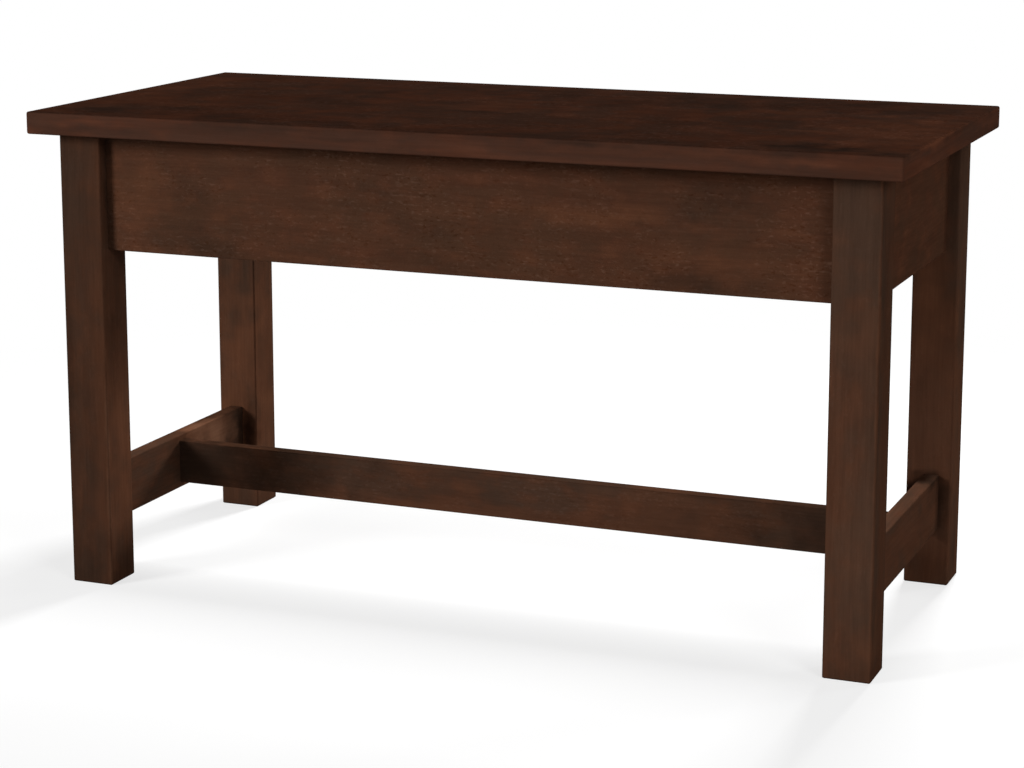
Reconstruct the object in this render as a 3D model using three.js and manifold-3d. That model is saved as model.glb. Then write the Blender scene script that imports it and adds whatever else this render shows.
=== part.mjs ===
// A joined hardwood bench: a solid top on four square legs, deep aprons under the top and an H of stretchers
// near the floor. The frame is held by mortise and tenon joints, with a screwed block in each corner, and the
// top is held down by wooden buttons, so that it can swell and shrink across its width.
// Millimetres. X runs along the bench, Y from its front to its back, and Z up from the floor.
// The origin is on the floor, under the middle of the bench.
import * as THREE from "three";
import { mergeVertices } from "three/addons/utils/BufferGeometryUtils.js";
import Module from "manifold-3d";

// Driving sizes of the whole bench
const SEAT_HEIGHT = 480;
const FRAME_LENGTH = 826; // over the outer faces of the legs
const FRAME_DEPTH = 360;
const TOP_OVERHANG = 23; // the same on all four sides
const TOP_THICKNESS = 22;
const LEG_SIDE = 45;

// Aprons
const APRON_HEIGHT = 116;
const APRON_THICKNESS = 20;
const APRON_SETBACK = 12; // from the outer face of the leg to the face of the apron

// Stretchers
const STRETCHER_THICKNESS = 16;
const STRETCHER_SETBACK = 12;
const END_STRETCHER_HEIGHT = 57;
const END_STRETCHER_LIFT = 57; // clear height under the end stretchers
const LONG_STRETCHER_HEIGHT = 45;

// Eased edges
const TOP_ARRIS_RADIUS = 2;
const TOP_CORNER_EASE = 1; // added to the arris radius where two edges of the top meet
const LEG_ARRIS_RADIUS = 2;
const FOOT_CHAMFER = 1.5;
const BOARD_ARRIS_RADIUS = 1.5;

// Joint between an apron and a leg: two tenons meet in the leg with mitred ends, and each has a haunch above
const APRON_TENON_THICKNESS = 8;
const APRON_TENON_LOWER_SHOULDER = 10;
const HAUNCH_HEIGHT = 22;
const HAUNCH_LENGTH = 10;

// Joint between an end stretcher and a leg
const END_TENON_THICKNESS = 6;
const END_TENON_LENGTH = 25;
const END_TENON_SHOULDER = 8; // above and below

// Stub joint between the long stretcher and an end stretcher
const LONG_TENON_THICKNESS = 6;
const LONG_TENON_LENGTH = 10;
const LONG_TENON_SHOULDER = 7;

// Buttons that hold the top, and the groove in the aprons that takes their tongues
const GROOVE_WIDTH = 8;
const GROOVE_DEPTH = 8;
const GROOVE_DROP = 12; // from the upper edge of the apron to the groove
const BUTTON_LENGTH = 40;
const BUTTON_WIDTH = 30;
const BUTTON_STANDOFF = 1.5; // room for the top to move
const BUTTON_ARRIS_RADIUS = 2;
const TONGUE_LENGTH = 7;
const TONGUE_THICKNESS = 7;
const BUTTON_SCREW_PLACE = 20; // from the face of the apron
const LONG_SIDE_BUTTON_SHARES = [-0.6, 0, 0.6]; // of half the clear length of a long apron
const END_SIDE_BUTTON_SHARES = [0];

// Corner blocks
const BLOCK_HEIGHT = 40;
const BLOCK_DROP = 34; // from the upper edge of the aprons
const BLOCK_WING = 65; // along each apron
const BLOCK_TIP = 8; // blunt end of each wing
const BLOCK_SCREW_PLACE = 52; // from the inner corner of the aprons
const BLOCK_SCREW_GRIP = 20; // wood between the screw's head and the apron
const COUNTERBORE_RADIUS = 5.5;

// Countersunk wood screw with a cross recess
const SCREW_LENGTH = 32;
const SCREW_RADIUS = 2;
const SCREW_HEAD_RADIUS = 4;
const SCREW_HEAD_RIM = 0.5;
const SCREW_HEAD_DEPTH = 2.8;
const SCREW_TIP = 5;
const RECESS_LENGTH = 4.4;
const RECESS_WIDTH = 0.9;
const RECESS_DEPTH = 1.6;

// Clearance between pieces that touch, and the length by which a cutting solid passes through a surface
const FIT_GAP = 0.3;
const OVERRUN = 5;
const WELD = 0.0001;

const ARC_STEPS = 3; // per quarter turn of an eased edge
const ROUND_STEPS = 16; // round a screw

// Heights that follow from the sizes above
const TOP_UNDERSIDE = SEAT_HEIGHT - TOP_THICKNESS;
const FRAME_TOP = TOP_UNDERSIDE - FIT_GAP;
const APRON_BOTTOM = FRAME_TOP - APRON_HEIGHT;
const APRON_INNER_FACE = APRON_SETBACK + APRON_THICKNESS; // from the outer face of the leg
const STRETCHER_MIDDLE = END_STRETCHER_LIFT + END_STRETCHER_HEIGHT / 2;
const BLOCK_MIDDLE = FRAME_TOP - BLOCK_DROP - BLOCK_HEIGHT / 2;

// A button's tongue and body, measured from the underside of the top
const TONGUE_TOP = -(2 * FIT_GAP + GROOVE_DROP);
const BUTTON_BOTTOM = TONGUE_TOP - TONGUE_THICKNESS;

// The apron's tenon: its near and far cheeks, measured from the outer face of the leg, and its heights
const TENON_NEAR_CHEEK = APRON_SETBACK + (APRON_THICKNESS - APRON_TENON_THICKNESS) / 2;
const TENON_FAR_CHEEK = TENON_NEAR_CHEEK + APRON_TENON_THICKNESS;
const TENON_BOTTOM = APRON_BOTTOM + APRON_TENON_LOWER_SHOULDER;
const TENON_TOP = FRAME_TOP - HAUNCH_HEIGHT;

const wasm = await Module();
wasm.setup();

// A closed geometry as a solid that can be joined and cut
function solid(geometry) {
  const bare = geometry.clone();
  bare.deleteAttribute("normal");
  bare.deleteAttribute("uv");
  const welded = mergeVertices(bare, WELD);
  const mesh = new wasm.Mesh({
    numProp: 3,
    vertProperties: welded.attributes.position.array,
    triVerts: new Uint32Array(welded.index.array),
  });
  return new wasm.Manifold(mesh);
}

// The finished solid as a geometry with flat faces
function geometryOf(made) {
  const { vertProperties, triVerts } = made.getMesh();
  const indexed = new THREE.BufferGeometry();
  indexed.setAttribute("position", new THREE.BufferAttribute(vertProperties, 3));
  indexed.setIndex(new THREE.BufferAttribute(triVerts, 1));
  const flat = indexed.toNonIndexed();
  flat.computeVertexNormals();
  return flat;
}

// A box between two values on each axis, given in either order
function box(xs, ys, zs) {
  const size = [xs, ys, zs].map(([from, to]) => Math.abs(to - from));
  const middle = [xs, ys, zs].map(([from, to]) => (from + to) / 2);
  return solid(new THREE.BoxGeometry(...size).translate(...middle));
}

// A rectangle centred on the origin, with rounded corners
function roundedRectangle(width, height, radius) {
  const x = width / 2 - radius;
  const y = height / 2 - radius;
  const quarter = Math.PI / 2;
  const outline = new THREE.Shape();
  outline.absarc(x, -y, radius, -quarter, 0);
  outline.absarc(x, y, radius, 0, quarter);
  outline.absarc(-x, y, radius, quarter, 2 * quarter);
  outline.absarc(-x, -y, radius, 2 * quarter, 3 * quarter);
  outline.closePath();
  return outline;
}

function polygon(points) {
  return new THREE.Shape(points.map(([x, y]) => new THREE.Vector2(x, y)));
}

function extrude(shape, depth) {
  return new THREE.ExtrudeGeometry(shape, { depth, bevelEnabled: false, curveSegments: ARC_STEPS });
}

// Turns a shape's own axes and its extrusion from X, Y and Z to Y, Z and X
function layAlongX(geometry) {
  const turn = new THREE.Matrix4().makeBasis(
    new THREE.Vector3(0, 1, 0),
    new THREE.Vector3(0, 0, 1),
    new THREE.Vector3(1, 0, 0),
  );
  return geometry.applyMatrix4(turn);
}

// A board on edge along X with eased arrises: its outer face at Y 0, its lower edge at Z 0
function board(length, thickness, height) {
  const section = roundedRectangle(thickness, height, BOARD_ARRIS_RADIUS);
  const made = layAlongX(extrude(section, length));
  return solid(made.translate(-length / 2, thickness / 2, height / 2));
}

// The screw points up, with its head's flat face at Z 0. A growth makes the hole for it.
function screwBody(growth) {
  const profile = [
    [0, -growth],
    [SCREW_HEAD_RADIUS + growth, -growth],
    [SCREW_HEAD_RADIUS + growth, SCREW_HEAD_RIM],
    [SCREW_RADIUS + growth, SCREW_HEAD_DEPTH + growth],
    [SCREW_RADIUS + growth, SCREW_LENGTH - SCREW_TIP],
    [0, SCREW_LENGTH + growth],
  ].map(([radius, height]) => new THREE.Vector2(radius, height));
  return new THREE.LatheGeometry(profile, ROUND_STEPS).rotateX(Math.PI / 2);
}

function screwGeometry() {
  const arm = RECESS_LENGTH / 2;
  const slit = RECESS_WIDTH / 2;
  const depth = [-OVERRUN, RECESS_DEPTH];
  const recess = box([-arm, arm], [-slit, slit], depth).add(box([-slit, slit], [-arm, arm], depth));
  return geometryOf(solid(screwBody(0)).subtract(recess));
}

// The hole for a screw, with room for its head to pass back to the surface it is driven from
function screwHole(entryLength, entryRadius) {
  const entry = new THREE.CylinderGeometry(entryRadius, entryRadius, entryLength, ROUND_STEPS);
  entry.rotateX(Math.PI / 2).translate(0, 0, -entryLength / 2);
  return solid(screwBody(FIT_GAP)).add(solid(entry));
}

// The top: a panel with rounded corners and eased upper and lower arrises
function topGeometry(screwPlaces) {
  const arrises = 2 * TOP_ARRIS_RADIUS;
  const length = FRAME_LENGTH + 2 * TOP_OVERHANG - arrises;
  const depth = FRAME_DEPTH + 2 * TOP_OVERHANG - arrises;
  const panel = new THREE.ExtrudeGeometry(roundedRectangle(length, depth, TOP_CORNER_EASE), {
    depth: TOP_THICKNESS - arrises,
    bevelThickness: TOP_ARRIS_RADIUS,
    bevelSize: TOP_ARRIS_RADIUS,
    bevelSegments: ARC_STEPS,
    curveSegments: ARC_STEPS,
  });
  let top = solid(panel.translate(0, 0, TOP_ARRIS_RADIUS));
  const pilot = solid(screwBody(FIT_GAP));
  for (const { x, y } of screwPlaces) {
    top = top.subtract(pilot.translate(x, y, BUTTON_BOTTOM));
  }
  return geometryOf(top);
}

// A square frustum on the floor that widens upwards at 45 degrees on all sides. It chamfers the foot
// of a leg.
function squareFrustum(halfWidth, height) {
  const lowerRadius = halfWidth * Math.SQRT2;
  const upperRadius = (halfWidth + height) * Math.SQRT2;
  const frustum = new THREE.CylinderGeometry(upperRadius, lowerRadius, height, 4);
  frustum.rotateY(Math.PI / 4).rotateX(Math.PI / 2);
  return solid(frustum.translate(0, 0, height / 2));
}

// A leg in the frame of its corner: its outer corner is at the origin, and X and Y run inwards. The end
// stretcher enters the face that looks along Y or the one that looks along X.
function legGeometry(stretcherAlongY) {
  const middle = LEG_SIDE / 2;
  const post = extrude(roundedRectangle(LEG_SIDE, LEG_SIDE, LEG_ARRIS_RADIUS), FRAME_TOP);
  const foot = squareFrustum(middle - FOOT_CHAMFER, FRAME_TOP);
  let leg = solid(post).intersect(foot).translate(middle, middle, 0);

  const cheeks = [TENON_NEAR_CHEEK - FIT_GAP, TENON_FAR_CHEEK + FIT_GAP];
  const apronDepth = [TENON_NEAR_CHEEK - FIT_GAP, LEG_SIDE + OVERRUN];
  const haunchDepth = [LEG_SIDE - HAUNCH_LENGTH, LEG_SIDE + OVERRUN];
  const tenonHeights = [TENON_BOTTOM - FIT_GAP, TENON_TOP + FIT_GAP];
  const haunchHeights = [TENON_TOP, FRAME_TOP + OVERRUN];
  leg = leg.subtract(box(apronDepth, cheeks, tenonHeights));
  leg = leg.subtract(box(cheeks, apronDepth, tenonHeights));
  leg = leg.subtract(box(haunchDepth, cheeks, haunchHeights));
  leg = leg.subtract(box(cheeks, haunchDepth, haunchHeights));

  const line = STRETCHER_SETBACK + STRETCHER_THICKNESS / 2;
  const halfThickness = END_TENON_THICKNESS / 2 + FIT_GAP;
  const halfHeight = END_STRETCHER_HEIGHT / 2 - END_TENON_SHOULDER + FIT_GAP;
  const slot = [line - halfThickness, line + halfThickness];
  const reach = [LEG_SIDE - END_TENON_LENGTH, LEG_SIDE + OVERRUN];
  const heights = [STRETCHER_MIDDLE - halfHeight, STRETCHER_MIDDLE + halfHeight];
  leg = leg.subtract(stretcherAlongY ? box(slot, reach, heights) : box(reach, slot, heights));
  return geometryOf(leg);
}

// The mitred tenon and haunch at the right-hand end of an apron whose shoulder is at a given X
function apronTenon(shoulder) {
  const legFace = shoulder + FIT_GAP;
  const near = TENON_NEAR_CHEEK - APRON_SETBACK;
  const far = TENON_FAR_CHEEK - APRON_SETBACK;
  const nearEnd = legFace + LEG_SIDE - TENON_NEAR_CHEEK - FIT_GAP;
  const farEnd = legFace + LEG_SIDE - TENON_FAR_CHEEK - FIT_GAP;
  const root = shoulder - OVERRUN;
  const plan = polygon([[root, near], [nearEnd, near], [farEnd, far], [root, far]]);
  const tenon = extrude(plan, TENON_TOP - TENON_BOTTOM).translate(0, 0, TENON_BOTTOM - APRON_BOTTOM);
  const haunchEnd = legFace + HAUNCH_LENGTH - FIT_GAP;
  const haunch = box([root, haunchEnd], [near, far], [TENON_BOTTOM - APRON_BOTTOM, APRON_HEIGHT]);
  return solid(tenon).add(haunch);
}

// An apron between two legs, its outer face at Y 0 and its lower edge at Z 0, with tenons, the groove for
// the buttons, and the pilot holes for the screws of the corner blocks
function apronGeometry(frameSpan) {
  const shoulder = frameSpan / 2 - LEG_SIDE - FIT_GAP;
  const right = apronTenon(shoulder);
  const left = right.mirror([1, 0, 0]);
  let apron = board(2 * shoulder, APRON_THICKNESS, APRON_HEIGHT).add(right).add(left);

  const grooveTop = APRON_HEIGHT - GROOVE_DROP;
  const grooveDepths = [APRON_THICKNESS - GROOVE_DEPTH, APRON_THICKNESS + OVERRUN];
  const grooveHeights = [grooveTop - GROOVE_WIDTH, grooveTop];
  apron = apron.subtract(box([-shoulder, shoulder], grooveDepths, grooveHeights));

  const pilot = solid(screwBody(FIT_GAP).rotateX(Math.PI / 2));
  const place = frameSpan / 2 - APRON_INNER_FACE - BLOCK_SCREW_PLACE;
  const head = APRON_THICKNESS + BLOCK_SCREW_GRIP;
  for (const side of [-1, 1]) {
    apron = apron.subtract(pilot.translate(side * place, head, BLOCK_MIDDLE - APRON_BOTTOM));
  }
  return geometryOf(apron);
}

// An end stretcher, its outer face at Y 0 and its lower edge at Z 0, with a tenon at each end and a mortise
// for the long stretcher in its middle
function endStretcherGeometry() {
  const shoulder = FRAME_DEPTH / 2 - LEG_SIDE - FIT_GAP;
  const reach = shoulder + END_TENON_LENGTH;
  const middle = STRETCHER_THICKNESS / 2;
  const cheek = END_TENON_THICKNESS / 2;
  const heights = [END_TENON_SHOULDER, END_STRETCHER_HEIGHT - END_TENON_SHOULDER];
  const tenons = box([-reach, reach], [middle - cheek, middle + cheek], heights);
  const halfSlot = LONG_TENON_THICKNESS / 2 + FIT_GAP;
  const halfHeight = LONG_STRETCHER_HEIGHT / 2 - LONG_TENON_SHOULDER + FIT_GAP;
  const mortise = box(
    [-halfSlot, halfSlot],
    [STRETCHER_THICKNESS - LONG_TENON_LENGTH, STRETCHER_THICKNESS + OVERRUN],
    [END_STRETCHER_HEIGHT / 2 - halfHeight, END_STRETCHER_HEIGHT / 2 + halfHeight],
  );
  const stretcher = board(2 * shoulder, STRETCHER_THICKNESS, END_STRETCHER_HEIGHT);
  return geometryOf(stretcher.add(tenons).subtract(mortise));
}

// The long stretcher, its front face at Y 0 and its lower edge at Z 0, with a stub tenon at each end
function longStretcherGeometry() {
  const shoulder = FRAME_LENGTH / 2 - STRETCHER_SETBACK - STRETCHER_THICKNESS - FIT_GAP;
  const reach = shoulder + LONG_TENON_LENGTH;
  const middle = STRETCHER_THICKNESS / 2;
  const cheek = LONG_TENON_THICKNESS / 2;
  const heights = [LONG_TENON_SHOULDER, LONG_STRETCHER_HEIGHT - LONG_TENON_SHOULDER];
  const tenons = box([-reach, reach], [middle - cheek, middle + cheek], heights);
  return geometryOf(board(2 * shoulder, STRETCHER_THICKNESS, LONG_STRETCHER_HEIGHT).add(tenons));
}

// A corner block in the frame of its corner. It fills the corner of the aprons round the leg.
function cornerBlockGeometry() {
  const inner = APRON_INNER_FACE + FIT_GAP;
  const leg = LEG_SIDE + FIT_GAP;
  const wing = APRON_INNER_FACE + BLOCK_WING;
  const plan = polygon([
    [leg, inner],
    [wing, inner],
    [wing, inner + BLOCK_TIP],
    [inner + BLOCK_TIP, wing],
    [inner, wing],
    [inner, leg],
    [leg, leg],
  ]);
  const bottom = BLOCK_MIDDLE - BLOCK_HEIGHT / 2;
  let block = solid(extrude(plan, BLOCK_HEIGHT).translate(0, 0, bottom));
  const along = APRON_INNER_FACE + BLOCK_SCREW_PLACE;
  const head = APRON_INNER_FACE + BLOCK_SCREW_GRIP;
  const hole = screwHole(BLOCK_WING, COUNTERBORE_RADIUS);
  block = block.subtract(hole.rotate([90, 0, 0]).translate(along, head, BLOCK_MIDDLE));
  block = block.subtract(hole.rotate([0, -90, 0]).translate(head, along, BLOCK_MIDDLE));
  return geometryOf(block);
}

// A button in the frame of its place: the apron's inner face at X 0, X towards the middle of the bench, and
// Z 0 at the underside of the top. Its tongue lies in the groove, under the groove's upper side.
function buttonGeometry() {
  const r = BUTTON_ARRIS_RADIUS;
  const quarter = Math.PI / 2;
  const profile = new THREE.Shape();
  profile.moveTo(-TONGUE_LENGTH, BUTTON_BOTTOM);
  profile.absarc(BUTTON_LENGTH - r, BUTTON_BOTTOM + r, r, -quarter, 0);
  profile.lineTo(BUTTON_LENGTH, -FIT_GAP);
  profile.lineTo(BUTTON_STANDOFF, -FIT_GAP);
  profile.lineTo(BUTTON_STANDOFF, TONGUE_TOP);
  profile.lineTo(-TONGUE_LENGTH, TONGUE_TOP);
  profile.closePath();
  const upright = extrude(profile, BUTTON_WIDTH).translate(0, 0, -BUTTON_WIDTH / 2);
  const block = solid(upright.rotateX(quarter));
  const hole = screwHole(OVERRUN, SCREW_HEAD_RADIUS + FIT_GAP);
  return geometryOf(block.subtract(hole.translate(BUTTON_SCREW_PLACE, 0, BUTTON_BOTTOM)));
}

// The same dark brown stain on pieces cut from different boards, raw timber inside, and zinc on steel
const FINISHES = {
  top: new THREE.MeshStandardMaterial({ color: 0x3f291f, roughness: 0.6, metalness: 0 }),
  apron: new THREE.MeshStandardMaterial({ color: 0x442c1f, roughness: 0.6, metalness: 0 }),
  leg: new THREE.MeshStandardMaterial({ color: 0x442e23, roughness: 0.6, metalness: 0 }),
  stretcher: new THREE.MeshStandardMaterial({ color: 0x422d22, roughness: 0.6, metalness: 0 }),
  inner: new THREE.MeshStandardMaterial({ color: 0xa98459, roughness: 0.75, metalness: 0 }),
  screw: new THREE.MeshStandardMaterial({ color: 0xb9b7ae, roughness: 0.35, metalness: 0.9 }),
};

const bench = new THREE.Group();

function addPiece(parent, name, geometry, finish) {
  const piece = new THREE.Mesh(geometry, FINISHES[finish]);
  piece.name = name;
  parent.add(piece);
  return piece;
}

const screw = screwGeometry();
const button = buttonGeometry();
const endStretcher = endStretcherGeometry();
const buttonScrews = [];

// A button and its screw, at a place along a side
function addButton(side, name, place) {
  const group = new THREE.Group();
  group.position.set(place, APRON_INNER_FACE, TOP_UNDERSIDE);
  group.rotation.z = Math.PI / 2;
  side.add(group);
  addPiece(group, `top_button_${name}`, button, "inner");
  const held = addPiece(group, `button_screw_${name}`, screw, "screw");
  held.position.set(BUTTON_SCREW_PLACE, 0, BUTTON_BOTTOM);
  buttonScrews.push(held);
}

// One side of the frame, with its origin on the outer faces of the legs. Its own X runs along it and its own
// Y points into the bench.
function addSide(name, quarterTurns, span, away, buttonShares) {
  const side = new THREE.Group();
  const angle = (quarterTurns * Math.PI) / 2;
  side.rotation.z = angle;
  side.position.set(Math.sin(angle) * away, -Math.cos(angle) * away, 0);
  bench.add(side);
  const apron = addPiece(side, `apron_${name}`, apronGeometry(span), "apron");
  apron.position.set(0, APRON_SETBACK, APRON_BOTTOM);
  const clearHalf = span / 2 - LEG_SIDE;
  buttonShares.forEach((share, index) => {
    const suffix = buttonShares.length > 1 ? `_${index + 1}` : "";
    addButton(side, name + suffix, share * clearHalf);
  });
  return side;
}

function addLongSide(name, quarterTurns) {
  addSide(name, quarterTurns, FRAME_LENGTH, FRAME_DEPTH / 2, LONG_SIDE_BUTTON_SHARES);
}

function addEnd(name, quarterTurns) {
  const end = addSide(name, quarterTurns, FRAME_DEPTH, FRAME_LENGTH / 2, END_SIDE_BUTTON_SHARES);
  const stretcher = addPiece(end, `stretcher_${name}`, endStretcher, "stretcher");
  stretcher.position.set(0, STRETCHER_SETBACK, END_STRETCHER_LIFT);
}

addLongSide("front", 0);
addEnd("right", 1);
addLongSide("back", 2);
addEnd("left", 3);

bench.updateMatrixWorld(true);
const screwPlaces = buttonScrews.map((held) => held.getWorldPosition(new THREE.Vector3()));
const top = addPiece(bench, "seat_top", topGeometry(screwPlaces), "top");
top.position.z = TOP_UNDERSIDE;

const longStretcher = addPiece(bench, "stretcher_long", longStretcherGeometry(), "stretcher");
longStretcher.position.set(0, -STRETCHER_THICKNESS / 2, STRETCHER_MIDDLE - LONG_STRETCHER_HEIGHT / 2);

// The four corners, each turned a quarter turn from the one before it
const CORNERS = ["front_left", "front_right", "back_right", "back_left"];
const legs = [legGeometry(true), legGeometry(false)];
const cornerBlock = cornerBlockGeometry();

CORNERS.forEach((name, index) => {
  const corner = new THREE.Group();
  const xSide = name.endsWith("right") ? 1 : -1;
  const ySide = name.startsWith("back") ? 1 : -1;
  corner.rotation.z = (index * Math.PI) / 2;
  corner.position.set((xSide * FRAME_LENGTH) / 2, (ySide * FRAME_DEPTH) / 2, 0);
  bench.add(corner);

  addPiece(corner, `leg_${name}`, legs[index % 2], "leg");
  addPiece(corner, `corner_block_${name}`, cornerBlock, "inner");
  const along = APRON_INNER_FACE + BLOCK_SCREW_PLACE;
  const head = APRON_INNER_FACE + BLOCK_SCREW_GRIP;
  const first = addPiece(corner, `block_screw_${name}_1`, screw, "screw");
  first.position.set(along, head, BLOCK_MIDDLE);
  first.rotation.x = Math.PI / 2;
  const second = addPiece(corner, `block_screw_${name}_2`, screw, "screw");
  second.position.set(head, along, BLOCK_MIDDLE);
  second.rotation.y = -Math.PI / 2;
});

export default bench;
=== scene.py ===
"""A dark stained wooden bench: the camera, the light, the white floor, and the finish of every piece.

Metres and degrees. X runs along the bench, Y from its front to its back, and Z up from the floor.
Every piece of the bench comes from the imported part, and gets its material here.
"""

from math import radians

import bpy
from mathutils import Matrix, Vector


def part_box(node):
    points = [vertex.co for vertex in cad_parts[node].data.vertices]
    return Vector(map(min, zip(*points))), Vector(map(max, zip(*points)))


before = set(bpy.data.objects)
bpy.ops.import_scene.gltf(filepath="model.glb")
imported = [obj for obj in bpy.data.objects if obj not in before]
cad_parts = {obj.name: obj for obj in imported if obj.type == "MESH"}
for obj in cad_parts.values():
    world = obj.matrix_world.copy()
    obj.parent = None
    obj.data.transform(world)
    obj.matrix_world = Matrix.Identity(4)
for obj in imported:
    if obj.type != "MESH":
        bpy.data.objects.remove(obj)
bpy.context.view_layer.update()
bpy.context.scene.view_settings.view_transform = "Standard"

X_AXIS, Y_AXIS, Z_AXIS = AXES = (0, 1, 2)

# The colour white, and factors along X, Y and Z that change nothing
WHITE = (1, 1, 1)
EVEN = (1, 1, 1)

# Camera: its place, how far it is turned and looks down, its sensor and lens in millimetres, and its
# shift as a share of the picture's width
CAMERA_PLACE = (0.9245, -2.2979, 0.7711)
CAMERA_TURN = 22.04
CAMERA_PITCH = 10.62
CAMERA_SENSOR = 36
CAMERA_LENS = 88.8
CAMERA_SHIFT = -0.1

# Lamps: place, side of the square lamp, and power in watts. Each points at the middle of the bench.
LAMP_TARGET = (0, 0, 0.24)
LAMPS = {
    "key_lamp": ((-2.0, -2.3, 1.2), 0.8, 75),
    "fill_lamp": ((2.2, -1.8, 1.5), 1.0, 31),
    "back_lamp": ((0.3, 2.4, 1.2), 0.6, 116),
    "side_lamp": ((2.3, 2.1, 1.2), 0.6, 17),
}
WORLD_LIGHT = 0.03

# Floor: its grey in the light that it sends back to the bench, how much of the bench's shadow the camera
# sees near the bench, and how far from the middle that shadow starts to fade and ends
FLOOR_SIDE = 60
FLOOR_GREY = (0.6, 0.6, 0.6)
FLOOR_SHADOW_SHARE = 0.3
FLOOR_SHADOW_FADE = (0.7, 1.3)

# Colours, linear: the stain where the wood took it cool or warm, and where it lies thick or thin, which the
# marks also use as painted shade and painted light; a light colour of nearly bare wood, which the marks use
# as painted light; and a near-black painted shadow for the corners where the stretchers meet the legs
APRON_STAIN = dict(
    cool=(0.0480, 0.0238, 0.0138),
    warm=(0.0680, 0.0255, 0.0137),
    thick_and_painted_shade=(0.0230, 0.0140, 0.0095),
    thin_and_painted_light=(0.0980, 0.0380, 0.0185),
)
LEG_STAIN = dict(
    cool=(0.0500, 0.0272, 0.0175),
    warm=(0.0700, 0.0288, 0.0157),
    thick_and_painted_shade=(0.0250, 0.0138, 0.0090),
    thin_and_painted_light=(0.1000, 0.0400, 0.0206),
    bare_and_painted_light=(0.1500, 0.0720, 0.0420),
    painted_corner_shade=(0.0100, 0.0043, 0.0024),
)
SEAT_STAIN = dict(
    cool=(0.0500, 0.0232, 0.0150),
    warm=(0.0650, 0.0238, 0.0134),
    thick_and_painted_shade=(0.0230, 0.0138, 0.0100),
    thin_and_painted_light=(0.1000, 0.0360, 0.0190),
)

# Colours of the light and dark rings of raw timber, and of the screws
RAW_LIGHT = (0.47, 0.30, 0.155)
RAW_DARK = (0.30, 0.17, 0.08)
ZINC = (0.60, 0.59, 0.56)

# Noises: their cells a metre along the grain and across it, and what differs from plain noise. The screws
# have no grain.
CLOUDS = dict(along=9, across=18, detail=3.0)
TINTS = dict(along=34, across=64, detail=3.0)
STREAKS = dict(along=7, across=80, detail=3.0)
LINES = dict(along=18, across=360, detail=3.0, roughness=0.6)
CLUSTERS = dict(along=14, across=26)
DASHES = dict(along=150, across=390, detail=1.0)
SPECKS = dict(along=340, across=390, detail=0.0)
PORES = dict(along=200, across=370, detail=1.0)
RINGS = dict(along=6, across=160)
FIBRES = dict(along=60, across=1400, roughness=0.6)
GRIME = dict(along=500, across=500, detail=3.0)

# Steps in a noise: where each starts and ends and, after that, what it goes from and to. A step of two
# numbers gets the rest where it is used. Nearly all of a noise lies in its middle.
NOISE_MIDDLE = (0.3, 0.7)
WARM_CLOUD = (0.36, 0.64)
WARM_TINT = (0.42, 0.60)
THIN_TINT = (0.55, 0.75, 0, 0.3)
THICK_PATCH = (0.46, 0.28)
CLUSTER = (0.35, 0.65, 0.2, 1)
THIN_CLUSTER = (0.4, 1, 0, 0.12)
DASH = (0.54, 0.80, 0, 0.7)
SPECK = (0.67, 0.82, 0, 0.45)
PORE = (0.42, 0.26, 0, 0.34)

# The stain: the mean warmth from each of its two noises, the strength of its thick patches, how far their
# noise lies from the clouds' noise; and how much darker the colour grows towards a sharp edge, by the
# distance to it
WARMTH_MEAN = 0.25
PATCH_STRENGTH = 0.4
PATCH_OFFSET = (3.3, 7.1, 5.7)
EDGE_DARKENING = (0.0018, 0.0004, 0, 0.05)

# The grain: how far it wanders sideways and over how many cells a metre, what share of its red, green and
# blue a full fleck adds to the colour, and how far the noises of one piece lie from the next one's
GRAIN_WANDER = (0, 0.012, 0.012)
GRAIN_WANDER_CELLS = 5.0
FLECK_GAIN = (0.60, 0.90, 1.20)
STAINED_STEP = (1.7, 0.9, 2.3)
RAW_STEP = (0.6, 1.1, 0.4)

# Finish: the range of the roughness, the depth and strength of the relief, the shade that the fibres of raw
# timber give, and the shine of the matt lacquer
WOOD_ROUGHNESS = (0.44, 0.52)
RAW_ROUGHNESS = (0.68, 0.80)
ZINC_ROUGHNESS = (0.28, 0.46)
RELIEF_DEPTH = 0.0002
WOOD_RELIEF = 0.2
RAW_RELIEF = 0.3
RAW_SHADE = (0.9, 1.1)
WOOD_SPECULAR = 0.0

# Outlines of the marks: how far they wander, in radii of the mark, over how many cells a metre, and the
# mean of the noise that moves them
MARK_WANDER = 1.8
MARK_WANDER_CELLS = 28.0
WANDER_MEAN = (0.5, 0.5, 0.5)

# Places of the faces that carry marks, each along the axis that the face looks along. The marks on the
# seat's upper face have their middle a little above it.
MARK_LIFT = 0.002
SEAT_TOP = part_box("seat_top")[1].z + MARK_LIFT
SEAT_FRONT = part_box("seat_top")[0].y
SEAT_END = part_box("seat_top")[1].x
APRON_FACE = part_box("apron_front")[0].y
LEFT_LEG_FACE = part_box("leg_front_left")[1].x
RIGHT_LEG_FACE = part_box("leg_front_right")[1].x
FRONT_LEG_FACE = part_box("leg_front_left")[0].y
BACK_LEG_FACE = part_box("leg_back_left")[0].y
LEFT_STRETCHER_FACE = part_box("stretcher_left")[1].x
RIGHT_STRETCHER_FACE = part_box("stretcher_right")[1].x
LONG_STRETCHER_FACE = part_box("stretcher_long")[0].y
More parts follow.
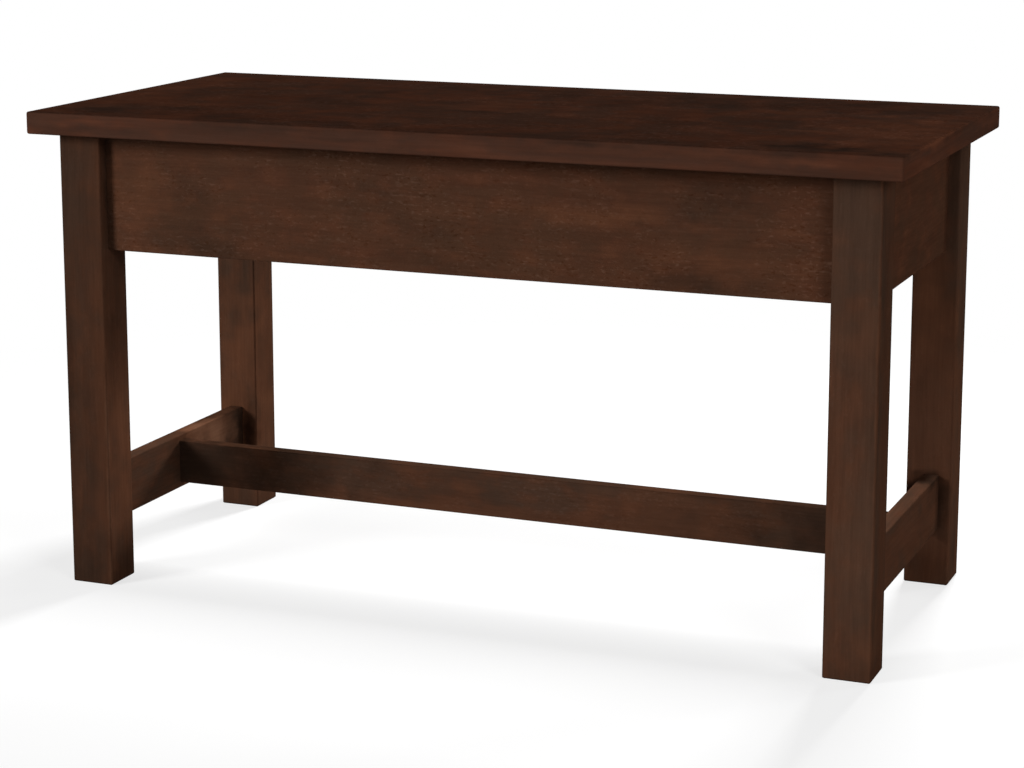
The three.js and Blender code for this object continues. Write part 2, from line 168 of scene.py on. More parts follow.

# Marks, placed one by one, where a piece took the stain in another way, and painted shade, painted shadows
# and
# painted light: the kind of colour, the middle and the radii of the space that it colours, and the strength.
# The painted shadows lie in corners at the joints and where one piece shades another; the painted light lies
# on faces and arrises that stay dark under the lamps.
MARKS = {
    "seat_top": (
        ("thick_and_painted_shade", (0.345, -0.170, SEAT_TOP), (0.062, 0.036, 0.012), 0.9),
        ("thick_and_painted_shade", (0.352, -0.172, SEAT_TOP), (0.042, 0.024, 0.012), 0.45),
        ("thick_and_painted_shade", (0.410, -0.190, SEAT_TOP), (0.045, 0.012, 0.012), 0.7),
        ("thick_and_painted_shade", (0.258, 0.145, SEAT_TOP), (0.060, 0.060, 0.012), 0.6),
        ("thick_and_painted_shade", (0.300, 0.160, SEAT_TOP), (0.040, 0.040, 0.012), 0.5),
        ("thick_and_painted_shade", (0.252, 0.000, SEAT_TOP), (0.070, 0.060, 0.012), 0.4),
        ("thick_and_painted_shade", (0.390, 0.117, SEAT_TOP), (0.050, 0.050, 0.012), 0.3),
        ("thick_and_painted_shade", (0.350, 0.160, SEAT_TOP), (0.140, 0.050, 0.012), 0.4),
        ("thick_and_painted_shade", (-0.379, -0.162, SEAT_TOP), (0.060, 0.040, 0.012), 0.6),
        ("thick_and_painted_shade", (-0.299, 0.027, SEAT_TOP), (0.070, 0.070, 0.012), 0.4),
        ("thick_and_painted_shade", (-0.282, -0.124, SEAT_TOP), (0.080, 0.060, 0.012), 0.4),
        ("thick_and_painted_shade", (-0.187, 0.038, SEAT_TOP), (0.050, 0.070, 0.012), 0.3),
        ("thin_and_painted_light", (-0.036, 0.010, SEAT_TOP), (0.070, 0.080, 0.012), 0.45),
        ("thin_and_painted_light", (-0.340, -0.060, SEAT_TOP), (0.090, 0.080, 0.012), 0.3),
        ("thick_and_painted_shade", (0.150, 0.100, SEAT_TOP), (0.100, 0.060, 0.012), 0.35),
        ("thick_and_painted_shade", (-0.215, -0.165, SEAT_TOP), (0.100, 0.050, 0.012), 0.4),
        ("thick_and_painted_shade", (0.036, -0.165, SEAT_TOP), (0.060, 0.050, 0.012), 0.3),
        ("thick_and_painted_shade", (0.180, -0.140, SEAT_TOP), (0.060, 0.080, 0.012), 0.35),
        ("thick_and_painted_shade", (-0.115, -0.169, SEAT_TOP), (0.060, 0.030, 0.012), 0.4),
        ("thick_and_painted_shade", (-0.010, -0.040, SEAT_TOP), (0.060, 0.015, 0.012), 0.5),
        ("thick_and_painted_shade", (0.090, 0.085, SEAT_TOP), (0.050, 0.060, 0.012), 0.4),
        ("thick_and_painted_shade", (0.080, 0.130, SEAT_TOP), (0.500, 0.090, 0.012), 0.3),
        ("thick_and_painted_shade", (0.250, 0.105, SEAT_TOP), (0.120, 0.060, 0.012), 0.55),
        ("thin_and_painted_light", (0.395, -0.050, SEAT_TOP), (0.100, 0.180, 0.012), 0.85),
        ("thin_and_painted_light", (0.390, -0.140, SEAT_TOP), (0.025, 0.025, 0.012), 0.5),
        ("thin_and_painted_light", (0.268, 0.070, SEAT_TOP), (0.040, 0.040, 0.012), 0.4),
        ("thin_and_painted_light", (0.320, -0.062, SEAT_TOP), (0.060, 0.012, 0.012), 0.4),
        ("thin_and_painted_light", (-0.410, 0.000, SEAT_TOP), (0.060, 0.230, 0.012), 0.7),
        ("thin_and_painted_light", (-0.100, -0.150, SEAT_TOP), (0.050, 0.015, 0.012), 0.4),
        ("cool", (SEAT_END, -0.120, 0.473), (0.010, 0.070, 0.006), 0.9),
        ("thin_and_painted_light", (SEAT_END, -0.110, 0.462), (0.010, 0.090, 0.006), 0.5),
        ("cool", (SEAT_END, 0.110, 0.467), (0.010, 0.110, 0.018), 1.0),
        # A light line along the right arris: wear, with a painted highlight
        ("thin_and_painted_light", (SEAT_END, -0.060, 0.480), (0.005, 0.130, 0.004), 1.6),
        ("warm", (-0.367, SEAT_FRONT, 0.474), (0.035, 0.010, 0.004), 1.0),
        ("thin_and_painted_light", (-0.367, SEAT_FRONT, 0.474), (0.030, 0.010, 0.003), 0.4),
        ("thin_and_painted_light", (0.370, SEAT_FRONT, 0.470), (0.090, 0.010, 0.005), 1.0),
        ("cool", (0.350, SEAT_FRONT, 0.461), (0.100, 0.010, 0.006), 0.8),
        ("thin_and_painted_light", (0.140, SEAT_FRONT, 0.469), (0.130, 0.010, 0.004), 0.5),
        ("warm", (-0.095, SEAT_FRONT, 0.466), (0.110, 0.010, 0.005), 0.7),
        ("cool", (-0.235, SEAT_FRONT, 0.467), (0.100, 0.010, 0.013), 0.9),
        ("cool", (0.190, SEAT_FRONT, 0.465), (0.170, 0.010, 0.008), 0.85),
        ("cool", (0.000, SEAT_FRONT, 0.468), (0.800, 0.010, 0.030), 0.45),
        ("thick_and_painted_shade", (-0.410, SEAT_FRONT, 0.464), (0.060, 0.010, 0.010), 0.35),
        ("thin_and_painted_light", (0.250, SEAT_FRONT, 0.475), (0.250, 0.010, 0.008), 0.3),
        ("warm", (0.410, SEAT_FRONT, 0.470), (0.050, 0.010, 0.020), 0.8),
        ("thick_and_painted_shade", (-0.180, SEAT_FRONT, 0.475), (0.180, 0.010, 0.007), 0.4),
        ("thick_and_painted_shade", (-0.370, SEAT_FRONT, 0.466), (0.110, 0.010, 0.008), 0.3),
        ("thick_and_painted_shade", (-0.090, SEAT_FRONT, 0.469), (0.050, 0.010, 0.004), 0.35),
        ("thick_and_painted_shade", (0.150, SEAT_FRONT, 0.477), (0.050, 0.010, 0.005), 0.7),
        ("thick_and_painted_shade", (0.330, SEAT_FRONT, 0.477), (0.070, 0.010, 0.005), 0.5),
        ("thin_and_painted_light", (0.150, SEAT_FRONT, 0.462), (0.220, 0.010, 0.006), 0.3),
        ("thin_and_painted_light", (0.026, SEAT_FRONT, 0.467), (0.045, 0.010, 0.010), 0.4),
        ("cool", (-0.420, SEAT_FRONT, 0.470), (0.030, 0.010, 0.014), 0.9),
        ("thick_and_painted_shade", (0.060, -0.188, SEAT_TOP), (0.300, 0.020, 0.006), 0.45),
        ("thick_and_painted_shade", (-0.180, -0.190, SEAT_TOP), (0.120, 0.014, 0.006), 0.4),
    ),
    "apron_front": (
        ("thick_and_painted_shade", (-0.280, APRON_FACE, 0.408), (0.050, 0.05, 0.026), 0.35),
        ("thick_and_painted_shade", (-0.262, APRON_FACE, 0.352), (0.085, 0.05, 0.030), 0.55),
        ("thick_and_painted_shade", (0.255, APRON_FACE, 0.432), (0.070, 0.05, 0.036), 0.55),
        ("thick_and_painted_shade", (0.235, APRON_FACE, 0.350), (0.050, 0.05, 0.020), 0.45),
        ("thick_and_painted_shade", (-0.020, APRON_FACE, 0.382), (0.060, 0.05, 0.024), 0.35),
        ("thick_and_painted_shade", (-0.150, APRON_FACE, 0.424), (0.130, 0.05, 0.014), 0.25),
        ("thin_and_painted_light", (0.290, APRON_FACE, 0.452), (0.120, 0.05, 0.014), 0.25),
        ("cool", (-0.150, APRON_FACE, 0.440), (0.160, 0.05, 0.020), 0.5),
        ("thin_and_painted_light", (-0.335, APRON_FACE, 0.400), (0.050, 0.05, 0.050), 0.45),
        ("thin_and_painted_light", (0.140, APRON_FACE, 0.408), (0.150, 0.05, 0.014), 0.5),
        ("thin_and_painted_light", (0.270, APRON_FACE, 0.372), (0.110, 0.05, 0.026), 0.3),
        # Painted shadow of the front left leg on the apron's left end
        ("thick_and_painted_shade", (-0.367, APRON_FACE, 0.400), (0.012, 0.05, 0.300), 0.5),
    ),
    "leg_front_left": (
        ("warm", (LEFT_LEG_FACE, -0.157, 0.240), (0.010, 0.08, 0.500), 0.7),
        # Painted light on the inner face below the apron, and painted shade on that face at its top and
        # beside the apron
        ("thin_and_painted_light", (-0.366, -0.150, 0.140), (0.012, 0.04, 0.120), 0.8),
        ("thick_and_painted_shade", (-0.366, -0.150, 0.400), (0.012, 0.03, 0.160), 0.6),
        ("thick_and_painted_shade", (-0.366, -0.165, 0.400), (0.006, 0.012, 0.120), 0.6),
        ("warm", (-0.372, FRONT_LEG_FACE, 0.180), (0.024, 0.012, 0.200), 0.8),
        ("thin_and_painted_light", (-0.378, FRONT_LEG_FACE, 0.180), (0.016, 0.012, 0.180), 0.2),
        ("thick_and_painted_shade", (-0.408, FRONT_LEG_FACE, 0.205), (0.020, 0.012, 0.025), 0.35),
        # Painted shade round the foot, and painted light low on the inner face
        ("thick_and_painted_shade", (-0.390, -0.157, 0.000), (0.080, 0.08, 0.060), 0.28),
        ("thin_and_painted_light", (-0.366, -0.168, 0.060), (0.012, 0.02, 0.080), 0.3),
        # Painted light along the arris between the front and inner faces
        ("bare_and_painted_light", (LEFT_LEG_FACE, FRONT_LEG_FACE, 0.120), (0.004, 0.004, 0.260), 0.45),
        ("thin_and_painted_light", (-0.372, FRONT_LEG_FACE, 0.220), (0.016, 0.012, 0.400), 0.3),
        ("thick_and_painted_shade", (-0.411, FRONT_LEG_FACE, 0.200), (0.014, 0.012, 0.300), 0.4),
        ("cool", (-0.413, FRONT_LEG_FACE, 0.400), (0.060, 0.03, 0.120), 0.9),
    ),
    "leg_front_right": (
        ("cool", (0.400, FRONT_LEG_FACE, 0.400), (0.060, 0.03, 0.180), 1.0),
        ("cool", (0.420, FRONT_LEG_FACE, 0.200), (0.025, 0.03, 0.250), 0.8),
        ("thin_and_painted_light", (0.405, FRONT_LEG_FACE, 0.315), (0.040, 0.03, 0.035), 0.35),
        ("cool", (0.402, FRONT_LEG_FACE, 0.155), (0.026, 0.03, 0.160), 0.7),
        # Painted light low on the front face
        ("bare_and_painted_light", (0.395, FRONT_LEG_FACE, 0.110), (0.060, 0.03, 0.150), 0.12),
        ("thin_and_painted_light", (0.405, FRONT_LEG_FACE, 0.025), (0.030, 0.03, 0.040), 0.5),
        ("warm", (RIGHT_LEG_FACE, -0.152, 0.180), (0.010, 0.025, 0.300), 0.9),
        ("bare_and_painted_light", (0.405, FRONT_LEG_FACE, 0.285), (0.020, 0.03, 0.030), 0.14),
        ("warm", (0.372, FRONT_LEG_FACE, 0.180), (0.016, 0.012, 0.160), 0.8),
        # A light line along the outer front arris: wear, with a painted highlight
        ("thin_and_painted_light", (RIGHT_LEG_FACE, FRONT_LEG_FACE, 0.260), (0.0035, 0.0035, 0.600), 0.7),
        ("thick_and_painted_shade", (RIGHT_LEG_FACE, -0.157, 0.300), (0.020, 0.05, 0.150), 0.2),
    ),
    "leg_back_left": (
        ("warm", (LEFT_LEG_FACE, 0.157, 0.240), (0.010, 0.08, 0.500), 0.7),
        # Painted shade under the apron and at the foot, painted light on the middle of the leg, below the
        # long stretcher and left of the end stretcher, and a painted shadow in the corner beside the end
        # stretcher
        ("thick_and_painted_shade", (-0.390, 0.148, 0.310), (0.060, 0.06, 0.060), 0.25),
        ("thin_and_painted_light", (-0.387, BACK_LEG_FACE, 0.232), (0.020, 0.02, 0.026), 0.5),
        ("thin_and_painted_light", (-0.390, 0.148, 0.165), (0.060, 0.06, 0.120), 0.85),
        ("thick_and_painted_shade", (-0.385, 0.148, 0.000), (0.070, 0.07, 0.050), 0.25),
        ("thin_and_painted_light", (-0.395, 0.140, 0.060), (0.040, 0.04, 0.050), 0.9),
        ("painted_corner_shade", (-0.377, BACK_LEG_FACE, 0.086), (0.014, 0.02, 0.046), 0.85),
        ("thin_and_painted_light", (-0.405, BACK_LEG_FACE, 0.090), (0.020, 0.02, 0.070), 1.3),
    ),
    "leg_back_right": (
        ("warm", (0.390, BACK_LEG_FACE, 0.240), (0.080, 0.02, 0.600), 1.0),
        ("thin_and_painted_light", (0.385, BACK_LEG_FACE, 0.285), (0.050, 0.02, 0.050), 0.8),
        ("thick_and_painted_shade", (0.385, BACK_LEG_FACE, 0.170), (0.050, 0.02, 0.090), 0.3),
        # Painted shadow round the end of the right stretcher: beside it on both sides and above it
        ("thick_and_painted_shade", (0.390, BACK_LEG_FACE, 0.083), (0.042, 0.02, 0.038), 1.3),
        ("painted_corner_shade", (0.376, BACK_LEG_FACE, 0.098), (0.022, 0.02, 0.022), 1.1),
        ("painted_corner_shade", (0.391, BACK_LEG_FACE, 0.111), (0.022, 0.02, 0.011), 0.75),
        ("painted_corner_shade", (0.404, BACK_LEG_FACE, 0.088), (0.012, 0.02, 0.036), 0.55),
        ("thick_and_painted_shade", (0.404, BACK_LEG_FACE, 0.064), (0.014, 0.02, 0.030), 0.6),
        # Painted shade in the corner between the front face and the end apron
        ("thick_and_painted_shade", (0.407, BACK_LEG_FACE, 0.400), (0.012, 0.02, 0.090), 0.6),
        ("cool", (RIGHT_LEG_FACE, 0.157, 0.380), (0.020, 0.06, 0.140), 0.9),
        ("thick_and_painted_shade", (RIGHT_LEG_FACE, 0.157, 0.440), (0.030, 0.06, 0.060), 0.4),
        ("thin_and_painted_light", (RIGHT_LEG_FACE, 0.157, 0.150), (0.030, 0.06, 0.160), 0.2),
    ),
    "stretcher_left": (
        # Painted light on the inner face and along its upper edge, a painted shadow where the long stretcher
        # meets it, and a painted shadow at the back leg
        ("thin_and_painted_light", (-0.390, 0.060, 0.112), (0.030, 0.090, 0.035), 0.9),
        ("thin_and_painted_light", (LEFT_STRETCHER_FACE, 0.065, 0.106), (0.030, 0.080, 0.025), 0.8),
        ("thick_and_painted_shade", (LEFT_STRETCHER_FACE, -0.010, 0.085), (0.020, 0.050, 0.040), 0.5),
        ("bare_and_painted_light", (LEFT_STRETCHER_FACE, 0.068, 0.104), (0.030, 0.085, 0.028), 0.85),
        ("painted_corner_shade", (LEFT_STRETCHER_FACE, 0.140, 0.090), (0.020, 0.028, 0.050), 0.7),
        ("thick_and_painted_shade", (-0.393, -0.045, 0.117), (0.030, 0.160, 0.007), 0.5),
    ),
    "stretcher_right": (
        ("cool", (0.393, -0.020, 0.116), (0.030, 0.250, 0.006), 0.6),
        # Painted light on the upper face
        ("thin_and_painted_light", (0.393, -0.020, 0.116), (0.030, 0.100, 0.006), 0.3),
        # Painted shadow where the stretcher meets the back leg, on its upper face and, further down, on its
        # outer face
        ("thick_and_painted_shade", (0.393, 0.137, 0.114), (0.030, 0.075, 0.012), 1.5),
        ("painted_corner_shade", (0.388, 0.137, 0.114), (0.014, 0.046, 0.012), 1.2),
        ("warm", (RIGHT_STRETCHER_FACE, 0.000, 0.085), (0.010, 0.300, 0.060), 0.9),
        ("thick_and_painted_shade", (RIGHT_STRETCHER_FACE, 0.135, 0.085), (0.020, 0.030, 0.060), 0.6),
    ),
    "stretcher_long": (
        ("warm", (0.000, LONG_STRETCHER_FACE, 0.065), (0.600, 0.05, 0.016), 0.7),
        # Painted shadow over the left part and at the right end, and painted light in the middle and on the
        # upper face at the left
        ("thick_and_painted_shade", (-0.290, LONG_STRETCHER_FACE, 0.085), (0.180, 0.05, 0.070), 0.75),
        ("thick_and_painted_shade", (-0.375, LONG_STRETCHER_FACE, 0.085), (0.070, 0.05, 0.070), 0.95),
        ("thin_and_painted_light", (0.160, LONG_STRETCHER_FACE, 0.090), (0.110, 0.05, 0.060), 0.45),
        ("thick_and_painted_shade", (-0.345, LONG_STRETCHER_FACE, 0.100), (0.060, 0.05, 0.030), 0.6),
        ("thick_and_painted_shade", (0.335, LONG_STRETCHER_FACE, 0.090), (0.090, 0.05, 0.080), 0.9),
        ("thick_and_painted_shade", (0.300, LONG_STRETCHER_FACE, 0.090), (0.070, 0.05, 0.080), 0.25),
        ("thin_and_painted_light", (-0.320, 0.000, 0.110), (0.120, 0.020, 0.004), 0.9),
    ),
}

# How each visible piece is cut and stained: the axis of its grain, the strength of the stain's clouds and of
# the grain's streaks and lines, and the strength of the flecks and a painted brightness on the faces that
# look along X, Y and Z, painted shade below 1 and painted light above 1. The seat's grain has another axis
# on its end faces, and its noises have more or fewer cells along each axis.
LONG_APRON = dict(stain=APRON_STAIN, grain=X_AXIS, cloud_share=0.55)
END_APRON = dict(stain=APRON_STAIN, grain=Y_AXIS, cloud_share=0.55, fleck_shares=(0.3, 0.3, 0.3))
LEG = dict(stain=LEG_STAIN, grain=Z_AXIS, cloud_share=0.8, fleck_shares=(0.2, 0.2, 0.2))
END_STRETCHER = dict(stain=LEG_STAIN, grain=Y_AXIS, fleck_shares=(0.2, 0.2, 0.2))
LOOKS = {
    "seat_top": dict(
        stain=SEAT_STAIN,
        grain=X_AXIS,
        end_grain=Y_AXIS,
        stretch=(1, 0.5, 1.5),
        cloud_share=1.4,
        streak_share=0.07,
        line_share=0.05,
        fleck_shares=(0.1, 0.15, 1.0),
        # Painted shade: the seat's upper face a third darker than its other faces
        face_factors_and_painted_light=(0.95, 0.95, 0.67),
    ),
    "apron_front": LONG_APRON,
    "apron_back": LONG_APRON,
    "apron_left": END_APRON,
    # Painted shade and painted light on single faces of the aprons, legs and stretchers; the upper faces of
    # the end stretchers get the most painted light
    "apron_right": dict(END_APRON, face_factors_and_painted_light=(0.94, 1, 1)),
    "leg_front_left": dict(LEG, face_factors_and_painted_light=(0.90, 0.71, 1)),
    "leg_front_right": dict(LEG, face_factors_and_painted_light=(0.84, 1.03, 1)),
    "leg_back_left": dict(LEG, face_factors_and_painted_light=(0.95, 1, 1)),
    "leg_back_right": dict(LEG, face_factors_and_painted_light=(1, 0.95, 1)),
    "stretcher_left": dict(END_STRETCHER, face_factors_and_painted_light=(0.86, 1, 1.5)),
    "stretcher_right": dict(END_STRETCHER, face_factors_and_painted_light=(1, 1, 3)),
    "stretcher_long": dict(
        stain=LEG_STAIN,
        grain=X_AXIS,
        fleck_shares=(0.5, 0.5, 0.5),
        face_factors_and_painted_light=(1, 0.95, 1),
    ),
}


class Nodes:
    """Adds nodes to a material or a world, and joins them."""

    def __init__(self, owner):
        owner.use_nodes = True
        self.tree = owner.node_tree
        self.tree.nodes.clear()

    def add(self, kind, inputs=None, **settings):
        node = self.tree.nodes.new(kind)
        for setting, value in settings.items():
            setattr(node, setting, value)
        for key, value in (inputs or {}).items():
            self.join(value, node.inputs[key])
        return node

    def join(self, value, socket):
        """Links a socket to another node's, or gives it a number, a vector or a colour"""
        if isinstance(value, bpy.types.NodeSocket):
            self.tree.links.new(value, socket)
        elif socket.type == "RGBA":
            socket.default_value = (*value, 1)
        else:
            socket.default_value = value

    def math(self, operation, a, b=0.0):
        return self.add("ShaderNodeMath", {0: a, 1: b}, operation=operation).outputs[0]

    def vector(self, operation, a, b=(0, 0, 0)):
        """A vector, or the number that a length or a dot product is"""
        second = "Scale" if operation == "SCALE" else 1
        node = self.add("ShaderNodeVectorMath", {0: a, second: b}, operation=operation)
        return node.outputs["Value" if operation in ("LENGTH", "DOT_PRODUCT") else "Vector"]

    def place(self):
        """The place on the piece"""
        return self.add("ShaderNodeTexCoord").outputs["Object"]

    def noise(self, place, along, across, detail=2.0, roughness=0.5):
        """Noise with so many cells a metre along the grain and across it"""
        scaled = self.vector("MULTIPLY", place, (along, across, across))
        inputs = {"Vector": scaled, "Scale": 1.0, "Detail": detail, "Roughness": roughness}
        return self.add("ShaderNodeTexNoise", inputs).outputs["Fac"]

    def wander(self, place, cells, detail):
        """Noise along each of the three axes, with so many cells a metre"""
        inputs = {"Vector": place, "Scale": cells, "Detail": detail}
        return self.add("ShaderNodeTexNoise", inputs).outputs["Color"]

    def ramp(self, value, low, high, to_low=0.0, to_high=1.0):
        """A smooth step from one value to another while the input goes from low to high"""
        inputs = {
            "Value": value,
            "From Min": low,
            "From Max": high,
            "To Min": to_low,
            "To Max": to_high,
        }
        return self.add("ShaderNodeMapRange", inputs, interpolation_type="SMOOTHSTEP").outputs["Result"]

    def blend(self, share, first, second):
        mix = self.add("ShaderNodeMix", {"Factor": share}, data_type="RGBA")
        colours = [socket for socket in mix.inputs if socket.type == "RGBA"]
        for socket, colour in zip(colours, (first, second)):
            self.join(colour, socket)
        return next(socket for socket in mix.outputs if socket.type == "RGBA")

    def relief(self, height, strength):
        """The surface's direction with a fine relief on it"""
        inputs = {"Strength": strength, "Distance": RELIEF_DEPTH, "Height": height}
        return self.add("ShaderNodeBump", inputs).outputs["Normal"]

    def surface(self, inputs):
        """The shader of a material, joined to its output"""
        shader = self.add("ShaderNodeBsdfPrincipled", inputs)
        self.add("ShaderNodeOutputMaterial", {"Surface": shader.outputs[0]})


def face_tone(nodes, face_factors_and_painted_light):
    """One of three numbers, for the faces that look along X, Y and Z"""
    normal = nodes.add("ShaderNodeTexCoord").outputs["Normal"]
    squares = nodes.vector("MULTIPLY", normal, normal)
    return nodes.vector("DOT_PRODUCT", squares, face_factors_and_painted_light)


def turned(nodes, place, grain):
    """The place with the grain's axis first"""
    parts = nodes.add("ShaderNodeSeparateXYZ", {0: place}).outputs
    order = [grain] + [axis for axis in AXES if axis != grain]
    return nodes.add("ShaderNodeCombineXYZ", {i: parts[axis] for i, axis in enumerate(order)}).outputs[0]


def grain_place(nodes, grain, offset, stretch=EVEN, end_grain=None):
    """The place on the piece with the grain along X, moved so that no two pieces are alike. On the end faces
    the grain may run along another axis."""
    place = nodes.vector("MULTIPLY", nodes.place(), stretch)
    along = turned(nodes, place, grain)
    if end_grain is not None:
        on_end = face_tone(nodes, [float(axis == grain) for axis in AXES])
        change = nodes.vector("SUBTRACT", turned(nodes, place, end_grain), along)
        along = nodes.vector("ADD", along, nodes.vector("SCALE", change, nodes.math("ROUND", on_end)))
    moved = nodes.vector("ADD", along, offset)
    wander = nodes.wander(moved, GRAIN_WANDER_CELLS, detail=1.0)
    return nodes.vector("ADD", moved, nodes.vector("MULTIPLY", wander, GRAIN_WANDER))


def edge_distance(nodes, low, high):
    """How far the place is from the nearest edge of the piece's box: the middle one of its distances
    from the three pairs of faces"""
    place = nodes.place()
    below = nodes.vector("SUBTRACT", place, tuple(low))
    above = nodes.vector("SUBTRACT", tuple(high), place)
    nearest = nodes.vector("MINIMUM", below, above)
    x, y, z = nodes.add("ShaderNodeSeparateXYZ", {0: nearest}).outputs
    least = nodes.math("MINIMUM", x, y)
    most = nodes.math("MAXIMUM", x, y)
    return nodes.math("MAXIMUM", least, nodes.math("MINIMUM", most, z))


def add_clouds(nodes, place, stain, cloud_share):
    """The stain's colour in its cool and warm clouds, with thin spots and thick patches"""
    cloud = nodes.noise(place, **CLOUDS)
    tint = nodes.noise(place, **TINTS)
    patch = nodes.noise(nodes.vector("ADD", place, PATCH_OFFSET), **CLOUDS)
    ends = [WARMTH_MEAN * (1 + side * cloud_share) for side in (-1, 1)]
    warmth = nodes.math("ADD", nodes.ramp(cloud, *WARM_CLOUD, *ends), nodes.ramp(tint, *WARM_TINT, *ends))
    thickness = nodes.ramp(patch, *THICK_PATCH, 0, PATCH_STRENGTH * cloud_share)
    colour = nodes.blend(warmth, stain["cool"], stain["warm"])
    colour = nodes.blend(nodes.ramp(tint, *THIN_TINT), colour, stain["thin_and_painted_light"])
    return nodes.blend(thickness, colour, stain["thick_and_painted_shade"])


def add_marks(nodes, colour, stain, marks):
    """Blends the marks of a piece into its colour: stain marks, and painted shade and painted light"""
    place = nodes.place()
    wander = nodes.wander(place, MARK_WANDER_CELLS, detail=3.0)
    warp = nodes.vector("SCALE", nodes.vector("SUBTRACT", wander, WANDER_MEAN), MARK_WANDER)
    for kind, middle, radii, strength in marks:
        offset = nodes.vector("DIVIDE", nodes.vector("SUBTRACT", place, middle), radii)
        distance = nodes.vector("LENGTH", nodes.vector("ADD", offset, warp))
        colour = nodes.blend(nodes.ramp(distance, 1, 0, 0, strength), colour, stain[kind])
    return colour


def flecks(nodes, place, cluster):
    """The short light dashes of the grain, above zero, and its dark pores, below zero, in loose clusters"""
    dash = nodes.ramp(nodes.noise(place, **DASHES), *DASH)
    speck = nodes.ramp(nodes.noise(place, **SPECKS), *SPECK)
    pore = nodes.ramp(nodes.noise(place, **PORES), *PORE)
    light = nodes.math("MAXIMUM", dash, speck)
    return nodes.math("MULTIPLY", nodes.math("SUBTRACT", light, pore), cluster)


def stained_wood(
    node,
    offset,
    stain,
    grain,
    face_factors_and_painted_light=EVEN,
    fleck_shares=EVEN,
    cloud_share=1.0,
    streak_share=0.05,
    line_share=0.07,
    stretch=EVEN,
    end_grain=None,
):
    """The stained and lacquered wood of one piece, with its marks, among them painted shade and painted
    light, and with a painted brightness on its faces
    """
    material = bpy.data.materials.new(f"{node}_wood")
    nodes = Nodes(material)
    place = grain_place(nodes, grain, offset, stretch, end_grain)
    streak = nodes.noise(place, **STREAKS)
    line = nodes.noise(place, **LINES)
    cluster = nodes.ramp(nodes.noise(place, **CLUSTERS), *CLUSTER)

    edge = nodes.ramp(edge_distance(nodes, *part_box(node)), *EDGE_DARKENING)
    colour = add_clouds(nodes, place, stain, cloud_share)
    colour = nodes.blend(nodes.ramp(cluster, *THIN_CLUSTER), colour, stain["thin_and_painted_light"])
    colour = nodes.blend(edge, colour, stain["thick_and_painted_shade"])
    colour = add_marks(nodes, colour, stain, MARKS.get(node, ()))

    shade = nodes.math(
        "MULTIPLY",
        nodes.ramp(streak, *NOISE_MIDDLE, 1 - streak_share, 1 + streak_share),
        nodes.ramp(line, *NOISE_MIDDLE, 1 - line_share, 1 + line_share),
    )
    speckle = nodes.math("MULTIPLY", flecks(nodes, place, cluster), face_tone(nodes, fleck_shares))
    gain = nodes.vector("ADD", WHITE, nodes.vector("SCALE", FLECK_GAIN, speckle))
    colour = nodes.vector("MULTIPLY", nodes.vector("SCALE", colour, shade), gain)
    # The colour is scaled on each face by its painted brightness: painted shade below 1 and painted light
    # above 1
    nodes.surface(
        {
            "Base Color": nodes.vector("SCALE", colour, face_tone(nodes, face_factors_and_painted_light)),
            "Roughness": nodes.ramp(streak, *NOISE_MIDDLE, *WOOD_ROUGHNESS),
            "Specular IOR Level": WOOD_SPECULAR,
            "Normal": nodes.relief(nodes.math("ADD", line, speckle), WOOD_RELIEF),
        }
    )
    return material


def raw_wood(node, offset):
    """The raw timber of one piece inside the frame"""
    material = bpy.data.materials.new(f"{node}_wood")
    nodes = Nodes(material)
    place = grain_place(nodes, X_AXIS, offset)
    ring = nodes.noise(place, **RINGS)
    fibre = nodes.noise(place, **FIBRES)
    colour = nodes.blend(nodes.ramp(ring, *NOISE_MIDDLE), RAW_DARK, RAW_LIGHT)
    nodes.surface(
        {
            "Base Color": nodes.vector("SCALE", colour, nodes.ramp(fibre, *NOISE_MIDDLE, *RAW_SHADE)),
            "Roughness": nodes.ramp(fibre, *NOISE_MIDDLE, *RAW_ROUGHNESS),
            "Normal": nodes.relief(fibre, RAW_RELIEF),
        }
    )
    return material


def zinc_steel():
    """The zinc plated steel of the screws"""
    material = bpy.data.materials.new("screw_zinc")
    nodes = Nodes(material)
    grime = nodes.noise(nodes.place(), **GRIME)
    roughness = nodes.ramp(grime, *NOISE_MIDDLE, *ZINC_ROUGHNESS)
    nodes.surface({"Base Color": ZINC, "Metallic": 1.0, "Roughness": roughness})
    return material


def seen(nodes):
    """1 where the camera sees something, straight on or in a reflection, and 0 for the light that falls
    on the bench"""
    rays = nodes.add("ShaderNodeLightPath").outputs
    reflected = nodes.math("MAXIMUM", rays["Is Glossy Ray"], rays["Is Transmission Ray"])
    return nodes.math("MAXIMUM", rays["Is Camera Ray"], reflected)


def add_camera():
    data = bpy.data.cameras.new("camera")
    data.sensor_width = CAMERA_SENSOR
    data.lens = CAMERA_LENS
    data.shift_y = CAMERA_SHIFT
    camera = bpy.data.objects.new("camera", data)
    camera.location = CAMERA_PLACE
    camera.rotation_euler = (radians(90 - CAMERA_PITCH), 0, radians(CAMERA_TURN))
    bpy.context.scene.collection.objects.link(camera)
    bpy.context.scene.camera = camera


def add_lamps():
    for name, (place, side, power) in LAMPS.items():
        data = bpy.data.lights.new(name, "AREA")
        data.size = side
        data.energy = power
        lamp = bpy.data.objects.new(name, data)
        lamp.location = place
        aim = Vector(LAMP_TARGET) - Vector(place)
        lamp.rotation_euler = aim.to_track_quat("-Z", "Y").to_euler()
        bpy.context.scene.collection.objects.link(lamp)


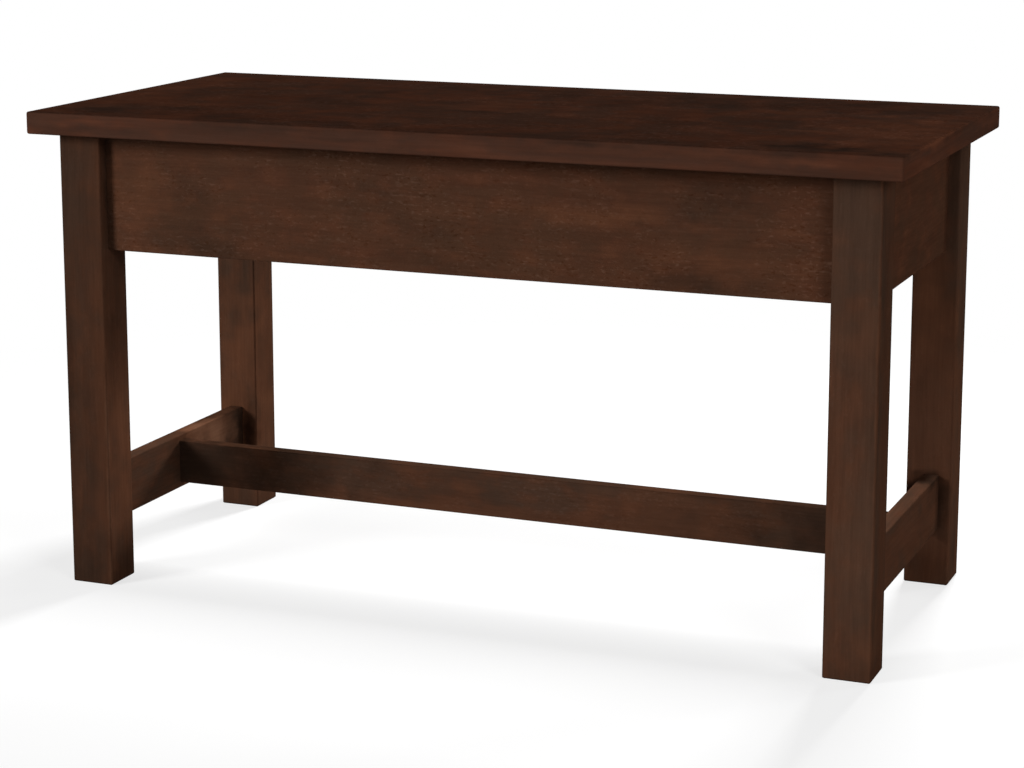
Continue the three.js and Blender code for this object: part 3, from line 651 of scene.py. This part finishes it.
def add_world():
    """White where the camera sees it, and a faint light on the bench"""
    world = bpy.data.worlds.new("world")
    nodes = Nodes(world)
    dim = nodes.add("ShaderNodeBackground", {"Color": WHITE, "Strength": WORLD_LIGHT})
    white = nodes.add("ShaderNodeBackground", {"Color": WHITE})
    mix = nodes.add("ShaderNodeMixShader", {"Fac": seen(nodes), 1: dim.outputs[0], 2: white.outputs[0]})
    nodes.add("ShaderNodeOutputWorld", {"Surface": mix.outputs[0]})
    bpy.context.scene.world = world


def floor_white():
    """White where the camera sees it, apart from the bench's shadow, and grey in the light on the bench"""
    material = bpy.data.materials.new("floor_white")
    nodes = Nodes(material)
    visible = seen(nodes)
    lit = nodes.add("ShaderNodeBsdfDiffuse", {"Color": nodes.blend(visible, FLOOR_GREY, WHITE)})
    plain = nodes.add("ShaderNodeEmission", {"Color": WHITE})
    distance = nodes.vector("LENGTH", nodes.place())
    plain_share = nodes.ramp(distance, *FLOOR_SHADOW_FADE, 1 - FLOOR_SHADOW_SHARE, 1)
    share = nodes.math("MULTIPLY", visible, plain_share)
    mix = nodes.add("ShaderNodeMixShader", {"Fac": share, 1: lit.outputs[0], 2: plain.outputs[0]})
    nodes.add("ShaderNodeOutputMaterial", {"Surface": mix.outputs[0]})
    return material


def add_floor():
    half = FLOOR_SIDE / 2
    mesh = bpy.data.meshes.new("floor")
    corners = [(-half, -half, 0), (half, -half, 0), (half, half, 0), (-half, half, 0)]
    mesh.from_pydata(corners, [], [(0, 1, 2, 3)])
    mesh.materials.append(floor_white())
    floor = bpy.data.objects.new("floor", mesh)
    bpy.context.scene.collection.objects.link(floor)


def dress(node, material):
    """Gives a piece of the frame one material"""
    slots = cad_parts[node].data.materials
    slots.clear()
    slots.append(material)


add_camera()
add_world()
add_lamps()
add_floor()

for index, (node, look) in enumerate(LOOKS.items()):
    dress(node, stained_wood(node, [index * step for step in STAINED_STEP], **look))

zinc = zinc_steel()
for index, node in enumerate(sorted(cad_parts)):
    if "_screw_" in node:
        dress(node, zinc)
    elif "_block_" in node or "_button_" in node:
        dress(node, raw_wood(node, [index * step for step in RAW_STEP]))
